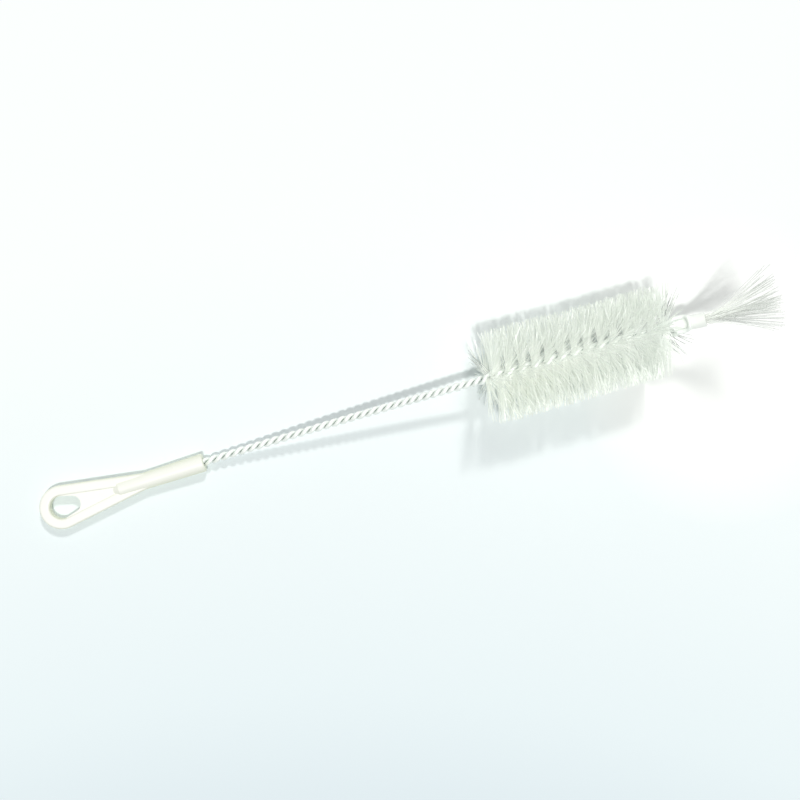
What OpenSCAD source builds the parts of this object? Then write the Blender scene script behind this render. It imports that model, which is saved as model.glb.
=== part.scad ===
// Bottle brush: a moulded handle with a hanging eye, a stem of twisted wire, a spiral head of
// nylon bristles and a fanned tuft at the tip. It lies as it comes to rest on a bench: the handle's
// socket and the lowest bristles are at z = 0, and the head's axis runs along +X.
// Millimetres. The origin is under the middle of the brush.

/* [Handle] */
// Length of the handle, from the end of its eye to the mouth of its socket
handle_length = 85; // [75:1:100]
// Width of the flat, round eye
eye_width = 22; // [20:0.5:26]
// Diameter of the round part of the hanging hole
eye_hole = 11.4; // [9:0.2:12]
// Distance from the middle of the eye to the end of the hole's nose
nose_reach = 9.8; // [8.5:0.1:11]
// Radius of the hole's nose, on the stem's side
nose_radius = 4.2; // [3:0.1:4.4]
// Thickness of the rim around the eye
rim_thickness = 5.6; // [4.5:0.1:6.5]
// Rounding of the rim's edges
rim_rounding = 1.3; // [0.5:0.1:2]
// Depth of the recess between the rim's arms, on each face
web_recess = 0.6; // [0.2:0.1:1]
// Distance from the end of the eye to the start of the socket
socket_start = 38; // [34:1:44]
// Length of the ramp that starts the socket
socket_ramp = 3; // [2:0.5:5]
// Diameter of the socket at the top of its ramp
socket_root = 8.2; // [7.6:0.1:9]
// Diameter of the socket at its mouth
socket_mouth = 9.4; // [9:0.1:11]

/* [Wire] */
// Diameter of the wire, which is folded double and twisted
wire_d = 2.1; // [1.8:0.05:2.2]
// Length of the bare stem, from the socket to the first bristles
stem_length = 148; // [100:1:200]
// Length of one turn of the twist at the handle
pitch_at_handle = 9.4; // [8.8:0.1:11]
// Length of one turn of the twist where the bristles start
pitch_at_head = 8.1; // [7.5:0.1:8.7]
// Length of the wire inside the socket
wire_grip = 24; // [15:1:25]

/* [Bristle head] */
// Diameter of the head over the bristle tips
head_d = 47; // [36:1:60]
// Number of full turns of the wire through the head
head_turns = 7; // [4:1:9]
// Length of one turn of the wire in the head
head_pitch = 13.6; // [12:0.2:15]
// Thickness of the layer of filaments between the two strands
layer = 0.8; // [0.5:0.1:1]
// Steps along each half turn; every step holds two bristles in each row
bristle_steps = 9; // [6:1:12]
// Rows of bristles across each tuft
bristle_rows = 3; // [2:1:4]
// Distance that the tips at both ends of the head lean outwards
end_splay = 1; // [0:0.5:6]
// Distance that the head's sides lean, one to each end
head_skew = 3; // [0:0.5:4]
// Distance that the head's upper bristles lean towards the tip
front_lean = 4; // [0:0.5:5]

/* [Tip] */
// Outer diameter of the sleeve that holds the tuft
sleeve_d = 7.2; // [6:0.1:8]
// Length of the sleeve
sleeve_length = 15; // [12:0.5:20]
// Wall of the sleeve
sleeve_wall = 0.6; // [0.4:0.1:1]
// Length of the tuft beyond the sleeve
tuft_length = 39; // [25:1:50]
// Width of the tuft at its end
tuft_spread = 34; // [20:1:40]
// Pairs of bristles counted across the tuft
tuft_bristles = 7; // [5:1:9]
// Upward lean of the sleeve and the tuft, in degrees
tip_rise = 24; // [0:1:30]
// Sideways turn of the sleeve and the tuft, in degrees
tip_turn = -3.8; // [-10:0.2:10]

/* [Hidden] */
$fn = 72;
tufts = 2 * head_turns;

plastic = [0.93, 0.92, 0.83];
steel = [0.74, 0.76, 0.75];
nylon = [0.86, 0.88, 0.80];
white = [0.95, 0.95, 0.91];

eye_r = eye_width / 2;
hole_r = eye_hole / 2;
rim_width = eye_r - hole_r;
wire_r = wire_d / 2;
head_r = head_d / 2;

// The arms of the rim run tangentially from the eye to a narrow circle inside the socket.
arm_end_r = 3.6;
arm_end = 57;
arm_angle = asin((eye_r - arm_end_r) / (arm_end - eye_r));

// Distance of each strand's centre from the axis: touching in the stem, round the filaments in the head.
strand_gap = 0.06;
stem_offset = (wire_d + strand_gap) / 2;
head_offset = (wire_d + layer) / 2 + 0.15;
// The strands are six-sided in section, with a flat turned to the axis and a round wire's area.
wire_sides = 6;
wire_section_r = 1.1 * wire_r;
rings_per_turn = 7;

// The handle lies on its socket: on the mouth and on the top of the ramp, or on the end of a thick eye.
mouth_bevel = 0.4;
to_root = handle_length - mouth_bevel - socket_start - socket_ramp;
to_eye = handle_length - mouth_bevel - rim_rounding;
root_slope = (socket_mouth - socket_root) / 2 / to_root;
eye_slope = (socket_mouth - rim_thickness) / 2 / to_eye;
handle_rise = atan(min(root_slope, eye_slope));
mouth_height = socket_mouth / 2 * cos(handle_rise) + mouth_bevel * sin(handle_rise);
handle_turn = 1.6;

// The stem bends up from the handle and levels out in the first turns of the head.
first_bend = 22;
last_bend_from = stem_length - 10;
last_bend_to = stem_length + 34;
tip_squash = 0.6;
climb = head_r - tip_squash - mouth_height;
stem_rise = asin(climb / ((last_bend_from + last_bend_to - first_bend) / 2));

// Twist, counted in turns from the socket's mouth. It is left-handed.
pitch_change = (pitch_at_head - pitch_at_handle) / stem_length;
stem_turns = ln(pitch_at_head / pitch_at_handle) / pitch_change;
end_turns = stem_turns + head_turns;
grip_turns = wire_grip / pitch_at_handle;
end_angle = 62;

// Filaments: packed as far as root_r, where they part into single bristles.
waist_r = 1.4;
root_r = 4.6;
root_spread = 0.9;
row_spread = head_pitch / 2 / bristle_rows;

// The wire's loop round the sleeve, as [distance past the head, distance from the axis, angle].
loop_r = sleeve_d / 2 + wire_r + 0.05;
loop_points = [
    [0, head_offset, end_angle],
    [1.5, 2.9, end_angle - 10],
    [2.9, 4.65, 46],
    [4.6, loop_r, 40],
    [6.6, loop_r, 38],
    [8.8, loop_r, 40],
    [10.5, loop_r, 56],
    [11.1, loop_r, 88],
    [10.8, loop_r, 116],
    [9.4, loop_r, 134],
    [7, loop_r, 139],
    [4.6, loop_r, 141],
    [2.9, 4.65, 166],
    [1.9, 3.1, 205],
    [0.9, 2.1, end_angle + 172],
    [0, head_offset, end_angle + 180],
];
loop_steps = 2;
sleeve_from = 3.6;

// The tuft: packed in the sleeve and a little beyond, then parted into bristles.
tuft_root = sleeve_from + sleeve_length;
tuft_parts = tuft_root + 4;
tuft_r = sleeve_d / 2 - sleeve_wall - 0.05;

function lerp(a, b, f) = a + (b - a) * f;
function ramp(v, from, to) = min(1, max(0, (v - from) / (to - from)));
function unit(v) = v / norm(v);
function reversed(list) = [for (i = [len(list) - 1 : -1 : 0]) list[i]];

// Catmull-Rom curve through a list of points, with t counted in points.
function curve(p, t) =
    let (
        last = len(p) - 1,
        i = min(last - 1, floor(t)),
        f = t - i,
        a = p[max(0, i - 1)],
        b = p[i],
        c = p[i + 1],
        d = p[min(last, i + 2)]
    )
    0.5 * (2 * b + (c - a) * f + (2 * a - 5 * b + 4 * c - d) * f * f
        + (3 * b - 3 * c + d - a) * f * f * f);

// The axis of the wire: its slope, its turn and its direction at a distance s from the mouth.
function rise_at(s) =
    lerp(handle_rise, stem_rise, ramp(s, 0, first_bend))
        - stem_rise * ramp(s, last_bend_from, last_bend_to);
function turn_at(s) = handle_turn * (1 - ramp(s, 0, stem_length));
function direction(rise, turn) = [cos(rise) * cos(turn), cos(rise) * sin(turn), sin(rise)];
function ahead(s) = direction(rise_at(s), turn_at(s));
function left(s) = [-sin(turn_at(s)), cos(turn_at(s)), 0];
function up(s) = cross(ahead(s), left(s));
function sideways(s, angle) = cos(angle) * left(s) + sin(angle) * up(s);

// Points of the axis, one for each millimetre from the inner end of the wire. The mouth is at 0, 0, 0.
axis_step = 1;
axis_points = [
    for (
        i = 0, p = -wire_grip * ahead(-wire_grip);
        i <= wire_grip + stem_length + head_turns * head_pitch + 1;
        p = p + axis_step * ahead((i + 0.5) * axis_step - wire_grip), i = i + 1
    ) p
];
function axis_point(s) =
    let (
        i = min(len(axis_points) - 2, max(0, floor((s + wire_grip) / axis_step))),
        f = (s + wire_grip) / axis_step - i
    )
    lerp(axis_points[i], axis_points[i + 1], f);

// Distance from the mouth at a count of turns, and the first strand's angle there.
function distance_at(turns) =
    turns < 0 ? turns * pitch_at_handle
    : turns < stem_turns ? (exp(turns * pitch_change) - 1) * pitch_at_handle / pitch_change
    : stem_length + (turns - stem_turns) * head_pitch;
function angle_at(turns) = end_angle + 360 * (end_turns - turns);
function offset_at(turns) =
    lerp(stem_offset, head_offset, ramp(turns, stem_turns - 0.6, stem_turns));

// The tip's own frame: it starts where the twist ends and leans with the sleeve.
tip_at = axis_point(distance_at(end_turns));
tip_ahead = direction(tip_rise, tip_turn);
tip_left = [-sin(tip_turn), cos(tip_turn), 0];
tip_up = cross(tip_ahead, tip_left);
function tip_side(angle) = cos(angle) * tip_left + sin(angle) * tip_up;
function tip_point(along, across, height) =
    tip_at + along * tip_ahead + across * tip_left + height * tip_up;

// Under the middle of the brush, on the bench.
eye_at = -(handle_length - eye_r) * ahead(0);
tuft_tips = [for (line = tuft_bristle_lines()) line[1].x];
rest_at = [(eye_at.x - eye_r + max(tuft_tips)) / 2, tip_at.y, -mouth_height];
module at_rest() {
    translate(-rest_at) children();
}

// Skin over a list of rings of equal length, closed by a flat face at each end.
module skin(rings) {
    n = len(rings[0]);
    m = len(rings);
    sides = [
        for (i = [0 : m - 2])
            for (j = [0 : n - 1])
                let (a = i * n + j, b = i * n + (j + 1) % n)
                for (f = [[a, b, b + n], [a, b + n, a + n]]) f
    ];
    caps = [[for (j = [n - 1 : -1 : 0]) j], [for (j = [0 : n - 1]) (m - 1) * n + j]];
    polyhedron([for (r = rings) for (p = r) p], concat(sides, caps));
}

// ---- Handle: x runs from the eye to the socket's mouth, which is at x = 0 ----

module in_handle() {
    rotate([0, -handle_rise, handle_turn]) children();
}

module rim_section() {
    // Rounded bar section, from the hole's edge outwards.
    r = rim_rounding;
    h = rim_thickness / 2;
    corners = [[rim_width - r, h - r, 0], [r, h - r, 90], [r, r - h, 180], [rim_width - r, r - h, 270]];
    polygon([
        for (c = corners)
            for (a = [0 : 15 : 90]) [c.x + r * cos(c.z + a), c.y + r * sin(c.z + a)]
    ]);
}

module eye_ring() {
    translate([eye_r - handle_length, 0, 0])
        rotate([0, 0, 90 - arm_angle])
            rotate_extrude(angle = 180 + 2 * arm_angle)
                translate([hole_r, 0]) rim_section();
}

module rim_arm() {
    // One arm of the rim, along its tangent to the eye.
    arm_length = (arm_end - eye_r) * cos(arm_angle);
    translate([eye_r - handle_length, 0, 0])
        rotate([0, 0, 90 - arm_angle])
            translate([hole_r, 0, 0])
                rotate([90, 0, 0])
                    linear_extrude(arm_length) rim_section();
}

module hanging_hole(height) {
    // Round hole with a blunter, rounded nose towards the stem: two circles and their tangents.
    nose_at = nose_reach - nose_radius;
    lean = asin((hole_r - nose_radius) / nose_at);
    translate([eye_r - handle_length, 0, -height / 2]) {
        cylinder(h = height, r = hole_r);
        translate([nose_at, 0, 0]) cylinder(h = height, r = nose_radius);
        linear_extrude(height)
            polygon([
                hole_r * [sin(lean), cos(lean)],
                [nose_at, 0] + nose_radius * [sin(lean), cos(lean)],
                [nose_at, 0] + nose_radius * [sin(lean), -cos(lean)],
                hole_r * [sin(lean), -cos(lean)],
            ]);
    }
}

module web() {
    // Recessed plate between the arms, cut back by the hanging hole.
    t = rim_thickness - 2 * web_recess;
    from = eye_r - handle_length + hole_r * sin(arm_angle);
    to = arm_end - handle_length;
    difference() {
        translate([0, 0, -t / 2])
            linear_extrude(t)
                polygon([
                    [from, hole_r + 1],
                    [to, arm_end_r - 1],
                    [to, 1 - arm_end_r],
                    [from, -hole_r - 1],
                ]);
        hanging_hole(2 * rim_thickness);
    }
}

module socket() {
    // Tapered sleeve with a ramp at its start and a bore for the wire.
    bore_r = stem_offset + wire_r + 0.05;
    from = socket_start - handle_length;
    ramp_r = 2.4;
    rotate([0, 90, 0])
        rotate_extrude()
            polygon([
                [0, from],
                [ramp_r, from],
                [socket_root / 2, from + socket_ramp],
                [socket_mouth / 2, -mouth_bevel],
                [socket_mouth / 2 - mouth_bevel, 0],
                [bore_r, 0],
                [bore_r, -wire_grip - 1],
                [0, -wire_grip - 1],
            ]);
}

module handle() {
    color(plastic)
        at_rest()
            in_handle() {
                eye_ring();
                rim_arm();
                mirror([0, 1, 0]) rim_arm();
                web();
                socket();
            }
}

// ---- Wire: one strand out to the loop, the other back ----

function strand(turns, angle) =
    let (s = distance_at(turns), out = sideways(s, angle_at(turns) + angle))
    [axis_point(s) + offset_at(turns) * out, out];
function loop(t) =
    let (p = curve(loop_points, t), out = tip_side(p.z))
    [tip_at + p.x * tip_ahead + p.y * out, out];

module wire() {
    twist_rings = ceil((end_turns + grip_turns) * rings_per_turn);
    twist = [for (i = [0 : twist_rings]) lerp(-grip_turns, end_turns, i / twist_rings)];
    loop_rings = (len(loop_points) - 1) * loop_steps;
    route = concat(
        [for (t = twist) strand(t, 0)],
        [for (i = [1 : loop_rings - 1]) loop(i / loop_steps)],
        [for (t = reversed(twist)) strand(t, 180)]
    );
    last = len(route) - 1;
    rings = [
        for (i = [0 : last])
            let (
                along = unit(route[min(last, i + 1)][0] - route[max(0, i - 1)][0]),
                across = unit(route[i][1] - (route[i][1] * along) * along),
                third = cross(along, across)
            )
            [
                for (j = [0 : wire_sides - 1])
                    let (a = -360 * (j + 0.5) / wire_sides)
                    route[i][0] + wire_section_r * (cos(a) * across + sin(a) * third)
            ]
    ];
    color(steel) at_rest() skin(rings);
}

// ---- Bristle head: the tuft of each half turn is one solid ----

function head_point(turns, radius, along, across) =
    let (s = distance_at(turns), angle = angle_at(turns) + 90)
    axis_point(s) + along * ahead(s) + radius * sideways(s, angle)
        + across * sideways(s, angle + 90);

// Outline of the packed layer at one place: the roots of one side, its waist, and the other side.
function layer_section(turns) =
    concat(
        [for (j = [0 : bristle_rows]) head_point(turns, root_r, root_along(j), 0)],
        [head_point(turns, waist_r, 0, layer / 2), head_point(turns, -waist_r, 0, layer / 2)],
        [for (j = [0 : bristle_rows]) head_point(turns, -root_r, root_along(j), 0)],
        [head_point(turns, -waist_r, 0, -layer / 2), head_point(turns, waist_r, 0, -layer / 2)]
    );
function root_along(row) = lerp(-root_spread, root_spread, row / bristle_rows);

// Tip of one bristle. Tips are spread evenly over the head, apart from a little disorder, lean
// outwards at the head's ends, and are pressed flat where they meet the bench.
function bristle_tip(turns, side, row, noise) =
    let (
        to_start = 1 - ramp(turns, stem_turns, stem_turns + 1),
        to_end = ramp(turns, end_turns - 1, end_turns),
        angle = angle_at(turns) + (side > 0 ? 90 : 270) + 3 * noise[0],
        spread = (row - bristle_rows / 2) * row_spread + 0.5 * noise[1],
        splay = end_splay * (to_end * to_end - to_start * to_start),
        lean = head_skew * cos(angle) + front_lean * pow(max(sin(angle), 0), 2) + splay,
        s = distance_at(turns),
        r = head_r - 0.9 * (1 + noise[2]),
        tip = axis_point(s) + (spread + lean) * ahead(s) + r * sideways(s, angle)
    )
    [tip.x, tip.y, max(tip.z, -mouth_height)];

module bristles(k) {
    rows = bristle_rows;
    steps = bristle_steps;
    n = 2 * rows + 6;
    w = rows + 1;
    from = stem_turns + (k - 1) / 2;
    noise = rands(-1, 1, 12 * steps * rows, 40 + k);
    body = [for (i = [0 : steps]) for (p = layer_section(from + i / steps / 2)) p];
    // Each cell of the layer's outer edges is cut in two, and each half is the root of a bristle.
    tips = [
        for (i = [0 : steps - 1])
            for (side = [0, 1])
                for (row = [0 : rows - 1])
                    for (half = [1, 2])
                        let (q = 3 * (((i * 2 + side) * rows + row) * 2 + half - 1))
                        bristle_tip(
                            from + (i + half / 3) / steps / 2, 1 - 2 * side, row + 1 - half / 3,
                            [noise[q], noise[q + 1], noise[q + 2]]
                        )
    ];
    faces = [
        for (i = [0 : steps - 1])
            for (j = [0 : n - 1])
                let (
                    a = i * n + j,
                    b = i * n + (j + 1) % n,
                    side = j < rows + 3 ? 0 : 1,
                    row = j - side * (rows + 3),
                    tip = len(body) + ((i * 2 + side) * rows + row) * 2
                )
                for (f = row < rows
                    ? [
                        [a, b, tip], [b, b + n, tip], [b + n, a, tip],
                        [a, b + n, tip + 1], [b + n, a + n, tip + 1], [a + n, a, tip + 1],
                    ]
                    : [[a, b, b + n], [a, b + n, a + n]]) f
    ];
    cap = concat(
        [for (j = [0 : rows - 1]) [j, j + 1, w]],
        [[0, w, n - 1], [w, w + 1, n - 1], [w + 1, n - 2, n - 1]],
        [for (j = [0 : rows - 1]) [w + 2 + j, w + 3 + j, n - 2]],
        [[w + 1, w + 2, n - 2]]
    );
    start = [for (f = cap) reversed(f)];
    end = [for (f = cap) [for (v = f) v + steps * n]];
    color(nylon) at_rest() polyhedron(concat(body, tips), concat(faces, start, end));
}

// ---- Sleeve and tuft ----

module sleeve() {
    color(white)
        at_rest()
            translate(tip_at)
                rotate([0, -tip_rise, tip_turn])
                    translate([sleeve_from, 0, 0])
                        rotate([0, 90, 0])
                            difference() {
                                cylinder(h = sleeve_length, d = sleeve_d);
                                translate([0, 0, -1])
                                    cylinder(h = sleeve_length + 2, r = sleeve_d / 2 - sleeve_wall);
                            }
}

// A square grid pressed into a disc: u and v run from -1 to 1.
function disc(u, v) = [u * sqrt(1 - v * v / 2), v * sqrt(1 - u * u / 2)];

// Cross-section of the tuft: its grid scaled to a radius, at a distance past the head.
function tuft_at(along, radius, u, v) =
    let (q = radius * disc(u, v)) tip_point(along, q.x, q.y);

// Middle and tip of each bristle of the tuft, which curves outwards.
function tuft_bristle_lines() =
    let (n = tuft_bristles, noise = rands(-1, 1, 6 * n * n, 7))
    [
        for (i = [0 : n - 1])
            for (j = [0 : n - 1])
                for (half = [1, 2])
                    let (
                        q = 3 * ((i * n + j) * 2 + half - 1),
                        u = (2 * i + 2 - half * 2 / 3 + 0.4 * noise[q]) / n - 1,
                        v = (2 * j + half * 2 / 3 + 0.4 * noise[q + 1]) / n - 1,
                        length = tuft_length * (1 - 0.1 * norm([u, v]) + 0.05 * noise[q + 2])
                    )
                    [
                        tuft_at(tuft_root + 0.45 * length, 0.19 * tuft_spread, u, v),
                        tuft_at(tuft_root + length, 0.5 * tuft_spread, u, v)
                    ]
    ];

module tuft() {
    n = tuft_bristles;
    // Points of the grid at the end of the packed bundle, then its outline nearer the head.
    grid = [
        for (i = [0 : n])
            for (j = [0 : n])
                tuft_at(tuft_parts, tuft_r + 0.3, 2 * i / n - 1, 2 * j / n - 1)
    ];
    edge = concat(
        [for (i = [0 : n - 1]) [i, 0]],
        [for (j = [0 : n - 1]) [n, j]],
        [for (i = [n : -1 : 1]) [i, n]],
        [for (j = [n : -1 : 1]) [0, j]]
    );
    sections = [
        for (along = [tuft_root, sleeve_from + 0.4])
            for (e = edge) tuft_at(along, tuft_r, 2 * e.x / n - 1, 2 * e.y / n - 1)
    ];
    lines = tuft_bristle_lines();
    middle_r = 0.28;
    middles = [
        for (i = [0 : len(lines) - 1])
            for (a = [195, 315, 75])
                lines[i][0]
                    + middle_r * (cos(a + 180 * (i % 2)) * tip_left + sin(a + 180 * (i % 2)) * tip_up)
    ];
    tips = [for (line = lines) line[1]];
    first_section = len(grid);
    first_middle = first_section + len(sections);
    first_tip = first_middle + len(middles);
    around = len(edge);
    bristle_faces = [
        for (i = [0 : n - 1])
            for (j = [0 : n - 1])
                for (half = [0, 1])
                    let (
                        c = (i * n + j) * 2 + half,
                        a = i * (n + 1) + j,
                        base = half == 0 ? [a, a + n + 1, a + n + 2] : [a + n + 2, a + 1, a],
                        mid = first_middle + 3 * c
                    )
                    for (e = [0 : 2])
                        let (f = (e + 1) % 3, m = mid + e, o = mid + f)
                        for (t = [[base[e], base[f], o], [base[e], o, m], [m, o, first_tip + c]]) t
    ];
    wall_faces = [
        for (e = [0 : around - 1])
            let (
                f = (e + 1) % around,
                g = edge[e].x * (n + 1) + edge[e].y,
                h = edge[f].x * (n + 1) + edge[f].y,
                a = first_section + e,
                b = first_section + f
            )
            for (t = [[g, b, h], [g, a, b], [a, b + around, b], [a, a + around, b + around]]) t
    ];
    root_face = [[for (e = [around - 1 : -1 : 0]) first_section + around + e]];
    color(nylon)
        at_rest()
            polyhedron(
                concat(grid, sections, middles, tips),
                concat(bristle_faces, wall_faces, root_face)
            );
}

handle();
wire();
for (k = [1 : tufts]) bristles(k);
sleeve();
tuft();
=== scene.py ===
"""Looks for the bottle brush: a twisted wire of galvanised steel, a moulded ivory handle, nylon
filaments in the head and in the tuft at the tip, and a bright studio with two lamps. Lengths are in
millimetres until a mesh is written, and in metres in the materials and for the bench. Angles are in
degrees."""

from math import asin, atan, cos, radians, sin

import bpy
import numpy as np
from mathutils import Matrix, Vector


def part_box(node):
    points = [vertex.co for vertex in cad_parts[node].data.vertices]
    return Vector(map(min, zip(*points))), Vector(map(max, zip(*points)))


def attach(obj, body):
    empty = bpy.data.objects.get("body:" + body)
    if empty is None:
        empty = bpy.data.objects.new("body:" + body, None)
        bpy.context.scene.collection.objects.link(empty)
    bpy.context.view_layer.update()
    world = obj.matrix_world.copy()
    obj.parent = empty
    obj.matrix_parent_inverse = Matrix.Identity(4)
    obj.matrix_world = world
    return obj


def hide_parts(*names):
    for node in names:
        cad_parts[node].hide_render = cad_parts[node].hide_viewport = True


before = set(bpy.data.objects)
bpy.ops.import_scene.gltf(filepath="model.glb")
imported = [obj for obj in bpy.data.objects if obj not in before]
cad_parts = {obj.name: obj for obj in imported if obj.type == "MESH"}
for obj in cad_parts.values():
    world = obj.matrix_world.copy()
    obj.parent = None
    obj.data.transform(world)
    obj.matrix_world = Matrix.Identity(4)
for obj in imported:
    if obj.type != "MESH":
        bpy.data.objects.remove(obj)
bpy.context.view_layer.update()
MM = 0.001

# ---- Sizes shared with the solids ----

# Handle. The wire starts inside its socket.
HANDLE_LENGTH, HANDLE_TURN = 85.0, 1.6
SOCKET_START, SOCKET_RAMP, SOCKET_ROOT = 38.0, 3.0, 8.2
SOCKET_MOUTH, MOUTH_BEVEL = 9.4, 0.4

# Wire. Its pitch shortens along the stem, and the head has its own.
WIRE_D, STRAND_GAP = 2.1, 0.06
WIRE_GRIP, STEM_LENGTH = 24.0, 148.0
PITCH_AT_HANDLE, PITCH_AT_HEAD, HEAD_PITCH = 9.4, 8.1, 13.6
OPENING_TURNS = 0.6
END_ANGLE = 62.0

# Head. Between the strands is a packed layer, and the lowest bristles are squashed on the bench.
HEAD_R, HEAD_TURNS = 23.5, 7
LAYER, LAYER_SLACK, TIP_SQUASH = 0.8, 0.15, 0.6
HALF_TURNS = 2 * HEAD_TURNS

# How far the bristles' tips lean along the axis: outwards at both ends of the head, forwards on its
# left and back on its right, and forwards on top.
END_SPLAY, HEAD_SKEW, FRONT_LEAN = 1.0, 3.0, 4.0

# Tip. The sleeve and the tuft rise from the end of the head and turn a little to the right.
SLEEVE_D, SLEEVE_WALL, SLEEVE_LENGTH, SLEEVE_FROM = 7.2, 0.6, 15.0, 3.6
TUFT_LENGTH, TUFT_SPREAD = 39.0, 34.0
TIP_RISE, TIP_TURN = 24.0, -3.8

WIRE_R = WIRE_D / 2
STEM_OFFSET = (WIRE_D + STRAND_GAP) / 2
HEAD_OFFSET = (WIRE_D + LAYER) / 2 + LAYER_SLACK

# The handle lies on its socket's mouth and on the top of the ramp.
TO_ROOT = HANDLE_LENGTH - MOUTH_BEVEL - SOCKET_START - SOCKET_RAMP
SOCKET_SLOPE = atan((SOCKET_MOUTH - SOCKET_ROOT) / 2 / TO_ROOT)
HANDLE_RISE = np.degrees(SOCKET_SLOPE)
MOUTH_HEIGHT = SOCKET_MOUTH / 2 * cos(SOCKET_SLOPE) + MOUTH_BEVEL * sin(SOCKET_SLOPE)

# The stem bends up from the handle and levels out in the first turns of the head.
FIRST_BEND = 22.0
LAST_BEND_FROM, LAST_BEND_TO = STEM_LENGTH - 10, STEM_LENGTH + 34
CLIMB = HEAD_R - TIP_SQUASH - MOUTH_HEIGHT
STEM_RISE = np.degrees(asin(CLIMB / ((LAST_BEND_FROM + LAST_BEND_TO - FIRST_BEND) / 2)))

# The twist is left-handed and counted in turns from the socket's mouth.
PITCH_CHANGE = (PITCH_AT_HEAD - PITCH_AT_HANDLE) / STEM_LENGTH
STEM_TURNS = np.log(PITCH_AT_HEAD / PITCH_AT_HANDLE) / PITCH_CHANGE
END_TURNS = STEM_TURNS + HEAD_TURNS
GRIP_TURNS = WIRE_GRIP / PITCH_AT_HANDLE


# ---- The axis of the wire, as whole arrays ----


def ramp(v, start, end):
    """0 before start, 1 after end and straight between them."""
    return np.clip((v - start) / (end - start), 0, 1)


def directions(rise, turn):
    """Unit vectors at an angle above the bench and an angle round the vertical."""
    rise, turn = np.radians(rise), np.radians(turn)
    return np.stack([np.cos(rise) * np.cos(turn), np.cos(rise) * np.sin(turn), np.sin(rise)], -1)


def rise_at(s):
    """Slope of the wire: the handle's, then the stem's, then level in the head."""
    first = HANDLE_RISE + (STEM_RISE - HANDLE_RISE) * ramp(s, 0, FIRST_BEND)
    return first - STEM_RISE * ramp(s, LAST_BEND_FROM, LAST_BEND_TO)


def turn_at(s):
    """Turn of the wire round the vertical: the handle's, falling evenly to 0 along the stem."""
    return HANDLE_TURN * (1 - ramp(s, 0, STEM_LENGTH))


def ahead(s):
    """Unit vectors along the wire, from its rise and its turn."""
    return directions(rise_at(s), turn_at(s))


def left(s):
    """Level unit vectors square to the wire, to its left: minus sine and cosine of its turn."""
    t = np.radians(turn_at(s))
    return np.stack([-np.sin(t), np.cos(t), 0 * t], -1)


def sideways(s, angle):
    """Unit vectors square to the axis: the angle goes from the brush's left to its top."""
    a = np.radians(angle)[..., None]
    return np.cos(a) * left(s) + np.sin(a) * np.cross(ahead(s), left(s))


# The axis is the running sum of its directions, each taken in the middle of its step, and it passes
# through the origin at the socket's mouth.
AXIS_STEP, PAST_HEAD = 0.25, 2
axis_s = np.arange(-WIRE_GRIP, STEM_LENGTH + HEAD_TURNS * HEAD_PITCH + PAST_HEAD, AXIS_STEP)
axis_sum = np.cumsum(ahead(axis_s + AXIS_STEP / 2) * AXIS_STEP, axis=0)
axis_sum = np.vstack([np.zeros(3), axis_sum[:-1]])
axis_sum -= np.array([np.interp(0, axis_s, axis_sum[:, i]) for i in range(3)])


def axis_point(s):
    """Points of the axis at distances from the socket's mouth."""
    return np.stack([np.interp(s, axis_s, axis_sum[:, i]) for i in range(3)], -1)


def distance_at(turns):
    """Distance from the socket's mouth after a count of turns: even in the socket and in the head,
    and in the stem an exponential of the turns, because the pitch there changes with the distance."""
    in_stem = np.exp(np.clip(turns, 0, STEM_TURNS) * PITCH_CHANGE) - 1
    in_stem = in_stem * PITCH_AT_HANDLE / PITCH_CHANGE
    in_head = np.clip(turns - STEM_TURNS, 0, None) * HEAD_PITCH
    return np.where(turns < 0, turns * PITCH_AT_HANDLE, in_stem) + in_head


def angle_at(turns):
    """Angle of the first strand round the axis: END_ANGLE at the end of the head."""
    return END_ANGLE + 360 * (END_TURNS - turns)


def offset_at(turns):
    """Distance of a strand's centre from the axis: the strands open in the last of the stem."""
    opened = ramp(turns, STEM_TURNS - OPENING_TURNS, STEM_TURNS)
    return STEM_OFFSET + (HEAD_OFFSET - STEM_OFFSET) * opened


# The tip's frame starts at the end of the head's axis.
TIP_AT = axis_point(distance_at(np.array(END_TURNS)))
TIP_AHEAD = directions(TIP_RISE, TIP_TURN)
TIP_LEFT = np.array([-sin(radians(TIP_TURN)), cos(radians(TIP_TURN)), 0.0])
TIP_UP = np.cross(TIP_AHEAD, TIP_LEFT)


def tip_point(along, across, height):
    """Points at distances ahead of the head's end, to its left and above it, in the tip's frame."""
    return (
        TIP_AT
        + np.asarray(along)[..., None] * TIP_AHEAD
        + np.asarray(across)[..., None] * TIP_LEFT
        + np.asarray(height)[..., None] * TIP_UP
    )


# The solids' origin is under the middle of the brush: the sleeve's box fixes it here.
low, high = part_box("sleeve")
sleeve_middle = tip_point(SLEEVE_FROM + SLEEVE_LENGTH / 2, 0, 0)
REST_AT = sleeve_middle - (np.array(low) + np.array(high)) / 2 / MM


# ---- Meshes ----

# Every random draw comes from here, so the pieces are made in one fixed order.
rng = np.random.default_rng(11)


def make_piece(name, points, faces, smooth=True, **notes):
    """A piece from an array of points in the wire's frame and a list of faces. Each note is a number
    at every point, kept as an attribute for the material."""
    mesh = bpy.data.meshes.new(name)
    mesh.from_pydata(((points.reshape(-1, 3) - REST_AT) * MM).tolist(), [], faces)
    mesh.polygons.foreach_set("use_smooth", np.full(len(mesh.polygons), smooth))
    for note, values in notes.items():
        mesh.attributes.new(note, "FLOAT", "POINT").data.foreach_set("value", np.ravel(values))
    mesh.update()
    piece = bpy.data.objects.new(name, mesh)
    bpy.context.collection.objects.link(piece)
    return piece


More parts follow.
